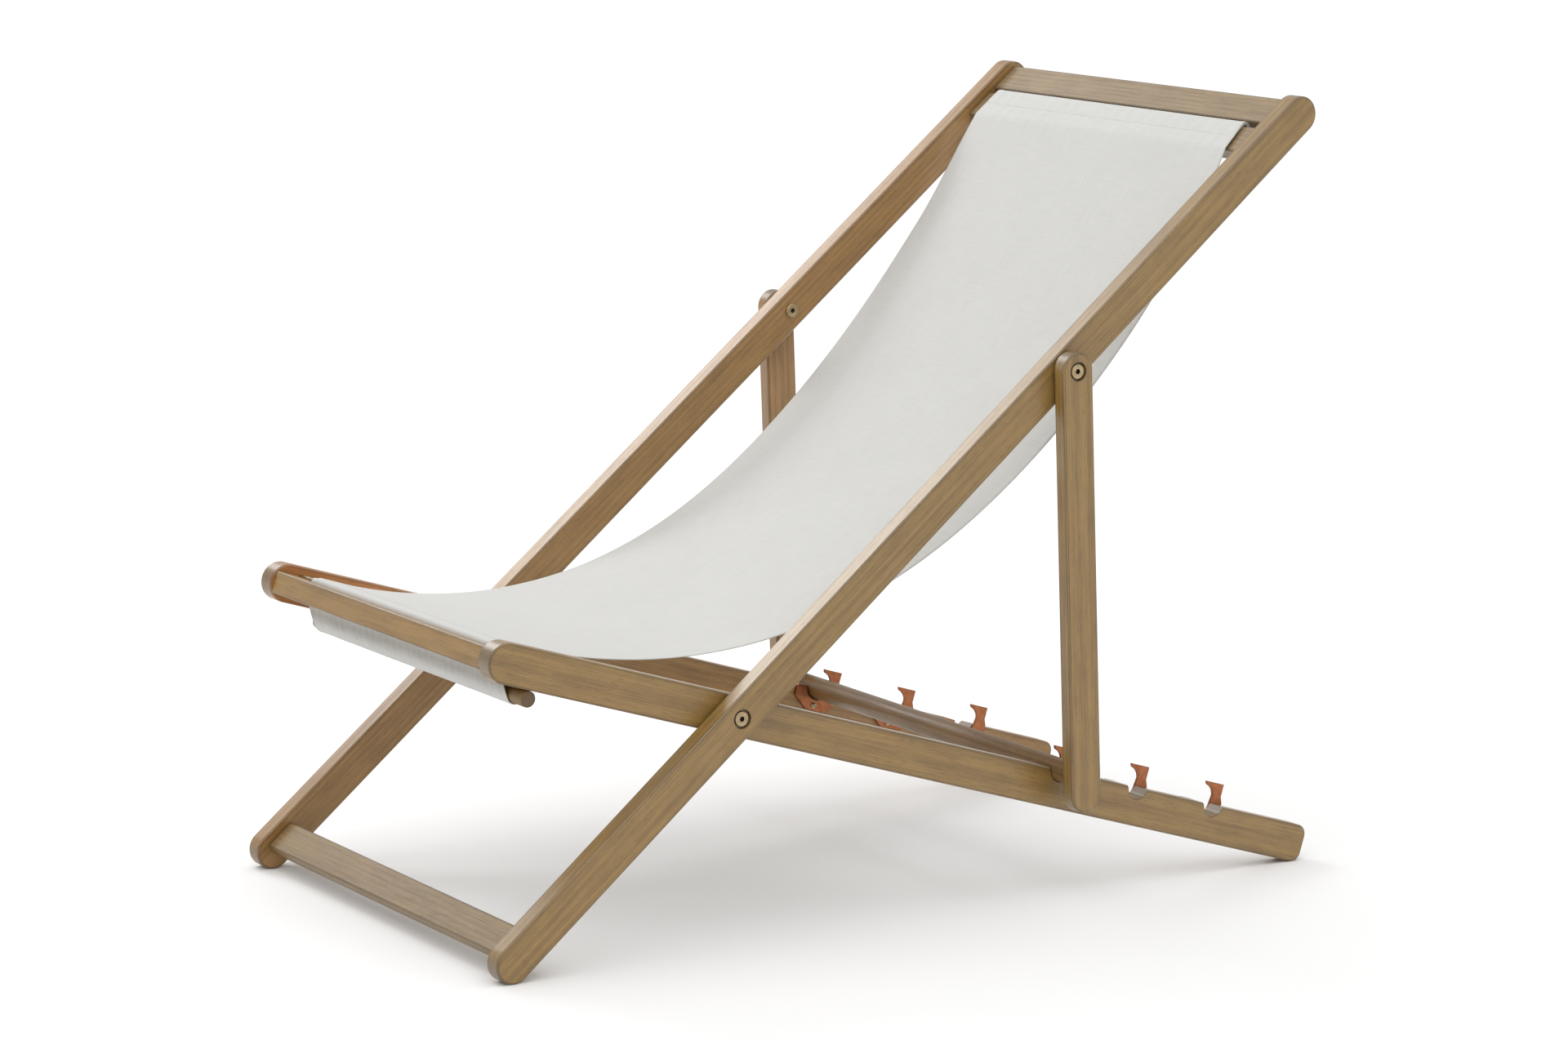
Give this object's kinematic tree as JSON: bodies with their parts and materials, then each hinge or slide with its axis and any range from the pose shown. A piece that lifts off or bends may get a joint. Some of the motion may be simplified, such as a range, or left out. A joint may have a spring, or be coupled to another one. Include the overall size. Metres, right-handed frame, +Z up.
{
  "type": "folding sling deck chair",
  "caption": "Folding wooden deck chair: two crossed frames, a prop frame that drops into hooked notches, and a cloth sling held by dowels in slots.",
  "frame": {"origin": "on the floor under the middle of the chair's length and width, as it stands in its first notch", "axes": "+Z up, -Y towards the front edge of the seat, +X towards the sitter's left"},
  "size_m": [0.598, 1.045, 0.8563],
  "materials": {
    "rail": "satin oiled",
    "slat": "satin oiled",
    "dowel": "satin oiled",
    "canvas": "plain woven cotton",
    "hook_plate": "copper-coloured plate",
    "bolt": "satin",
    "washer": "brushed"
  },
  "bodies": {
    "seat_frame": {"front_dowel": "dowel", "front_slat": "slat", "front_slot_slat": "slat", "hook_plate_1_left": "hook_plate", "hook_plate_1_right": "hook_plate", "hook_plate_2_left": "hook_plate", "hook_plate_2_right": "hook_plate", "hook_plate_3_left": "hook_plate", "hook_plate_3_right": "hook_plate", "hook_screw_1a_left": "bolt", "hook_screw_1a_right": "bolt", "hook_screw_1b_left": "bolt", "hook_screw_1b_right": "bolt", "hook_screw_2a_left": "bolt", "hook_screw_2a_right": "bolt", "hook_screw_2b_left": "bolt", "hook_screw_2b_right": "bolt", "hook_screw_3a_left": "bolt", "hook_screw_3a_right": "bolt", "hook_screw_3b_left": "bolt", "hook_screw_3b_right": "bolt", "seat_rail_left": "rail", "seat_rail_right": "rail"},
    "back_frame": {"back_rail_left": "rail", "back_rail_right": "rail", "cross_bolt_left": "bolt", "cross_bolt_right": "bolt", "cross_sleeve_nut_left": "bolt", "cross_sleeve_nut_right": "bolt", "cross_washer_left": "washer", "cross_washer_right": "washer", "foot_slat": "slat", "prop_bolt_left": "bolt", "prop_bolt_right": "bolt", "prop_sleeve_nut_left": "bolt", "prop_sleeve_nut_right": "bolt", "prop_washer_left": "washer", "prop_washer_right": "washer", "sling": "canvas", "top_dowel": "dowel", "top_slat": "slat", "top_slot_slat": "slat"},
    "prop_frame": {"prop_crossbar": "dowel", "prop_left": "rail", "prop_right": "rail"}
  },
  "joints": [
    {"name": "back_fold", "type": "hinge", "parent": "seat_frame", "child": "back_frame", "pos_m": [0, -0.23957, 0.24334], "axis": [1, 0, 0], "range_deg": [0, 115], "deforming": ["sling"]},
    {"name": "prop_swing", "type": "hinge", "parent": "back_frame", "child": "prop_frame", "pos_m": [0, 0.15523, 0.57868], "axis": [-1, 0, 0], "range_deg": [0, 48.5]}
  ],
  "couplings": [
    {"joint": "prop_swing", "follows": "back_fold", "ratio": 0.42}
  ]
}
